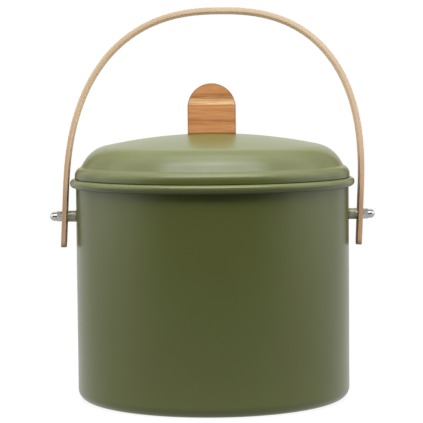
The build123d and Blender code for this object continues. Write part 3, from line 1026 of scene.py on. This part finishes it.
def build_world(white):
    """White in the picture and in reflections; otherwise a white backdrop and a dark room in front."""
    world = bpy.data.worlds.new("studio")
    bpy.context.scene.world = world
    world.use_nodes = True
    tree = world.node_tree
    tree.nodes.clear()
    output = tree.nodes.new("ShaderNodeOutputWorld")
    background = tree.nodes.new("ShaderNodeBackground")
    background.inputs["Color"].default_value = (*white, 1.0)
    direction = tree.nodes.new("ShaderNodeTexCoord")
    parts = tree.nodes.new("ShaderNodeSeparateXYZ")
    tree.links.new(direction.outputs["Generated"], parts.inputs[0])
    depth = Value(tree, parts.outputs["Y"])
    behind = depth.smooth(0.3, 0.7)
    seen = background_rays(tree, depth, -0.6, 0.0)
    strength = seen.maths("MAXIMUM", seen, behind)
    tree.links.new(strength.socket, background.inputs["Strength"])
    tree.links.new(background.outputs[0], output.inputs["Surface"])


def light_group(name):
    """The collection of pieces that some of the lamps tell apart, made when it's first needed."""
    return bpy.data.collections.get(name) or bpy.data.collections.new(name)


def light_gently(piece):
    """Takes a pale or bright piece out of the strong lamps' light and into that of the gentle ones."""
    for name, state in (("strong_lamps", "EXCLUDE"), ("gentle_lamps", "INCLUDE")):
        group = light_group(name)
        group.objects.link(piece)
        for item in group.collection_objects:
            item.light_linking.link_state = state


def softbox(name, azimuth, elevation, width, height, power, group=None):
    """A rectangular area lamp that faces the bin, at an azimuth from the front and an elevation.

    With a group, it lights only the pieces that the group lets in."""
    lamp = bpy.data.lights.new(name, "AREA")
    lamp.shape = "RECTANGLE"
    lamp.size = width
    lamp.size_y = height
    lamp.energy = power
    holder = bpy.data.objects.new(name, lamp)
    turn, rise = math.radians(azimuth), math.radians(elevation)
    away = Vector((math.sin(turn) * math.cos(rise), -math.cos(turn) * math.cos(rise), math.sin(rise)))
    middle, reach = Vector((0.0, 0.0, 0.15)), 1.5
    holder.location = middle + reach * away
    holder.rotation_euler = (-away).to_track_quat("-Z", "Y").to_euler()
    bpy.context.collection.objects.link(holder)
    if group:
        holder.light_linking.receiver_collection = light_group(group)


def build_lamps(studio):
    """Softboxes over the front, overhead, over the back and at both sides.

    The strong ones light the dark steel alone, because the pale wood and the bright nuts would
    clip to white under them. Those have gentle ones in their place."""
    softbox("key", 0, 63, 1.9, 0.5, studio.key, "strong_lamps")
    softbox("accent", 0, 60, 0.6, 0.4, studio.accent, "strong_lamps")
    softbox("top", 0, 88, 1.2, 0.8, studio.top, "strong_lamps")
    softbox("gentle", 0, 40, 1.9, 0.5, studio.gentle, "gentle_lamps")
    softbox("back", 0, 130, 1.4, 0.8, studio.back)
    for name, side in (("left", -1), ("right", 1)):
        softbox("high_" + name, side * 84, 50, 1.4, 1.0, studio.high_sides, "strong_lamps")
        softbox("low_" + name, side * 86, 15, 1.4, 1.0, studio.low_sides)
        softbox("gentle_" + name, side * 70, 20, 1.4, 1.0, studio.gentle_sides, "gentle_lamps")
        softbox("front_" + name, side * 60, 12, 0.8, 1.2, studio.front_sides)


def build_camera(studio):
    """The camera at the fitted place, turned about the bin's axis by the azimuth."""
    camera = bpy.data.cameras.new("camera")
    camera.sensor_width = 36.0
    camera.lens = studio.focal_length
    camera.clip_start = 0.05
    camera.clip_end = 50.0
    holder = bpy.data.objects.new("camera", camera)
    orbit = Matrix.Rotation(studio.azimuth, 4, "Z")
    place = Matrix.Translation((studio.offset, -studio.distance, studio.height))
    look = Euler((math.pi / 2 - studio.pitch, 0.0, 0.0)).to_matrix().to_4x4()
    holder.matrix_world = orbit @ place @ look @ Matrix.Rotation(studio.roll, 4, "Z")
    bpy.context.collection.objects.link(holder)
    bpy.context.scene.camera = holder


class BIN_PT_panel(bpy.types.Panel):
    """Lists the steps and the settings of the compost bin"""

    bl_idname = "BIN_PT_panel"
    bl_label = "Compost Bin"
    bl_space_type = "VIEW_3D"
    bl_region_type = "UI"
    bl_category = "Compost Bin"

    def draw(self, context):
        for operator in operators:
            self.layout.operator(operator.bl_idname)
        settings = context.scene.bin
        for group_name in ("bucket", "lid", "knob", "bail", "pivot", "finish", "studio"):
            box = self.layout.box()
            box.label(text=group_name.capitalize())
            group = getattr(settings, group_name)
            for setting in group.__annotations__:
                box.prop(group, setting)


operators = (
    BIN_OT_stage, BIN_OT_bucket, BIN_OT_lid, BIN_OT_knob, BIN_OT_bail, BIN_OT_pivots, BIN_OT_inside,
)
groups = (
    BucketSizes, LidSizes, KnobSizes, BailSizes, PivotSizes, Finishes, StudioSettings, BinSettings,
)


def register():
    """Registers the groups, the operators and the panel."""
    for item in (*groups, *operators, BIN_PT_panel):
        bpy.utils.register_class(item)
    bpy.types.Scene.bin = PointerProperty(type=BinSettings)


def unregister():
    """Takes the panel, the operators and the groups out again."""
    del bpy.types.Scene.bin
    for item in reversed((*groups, *operators, BIN_PT_panel)):
        bpy.utils.unregister_class(item)


def main():
    """Builds the dressed bin."""
    register()
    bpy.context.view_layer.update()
    for operator in operators:
        module, name = operator.bl_idname.split(".")
        getattr(getattr(bpy.ops, module), name)()


if __name__ == "__main__":
    main()
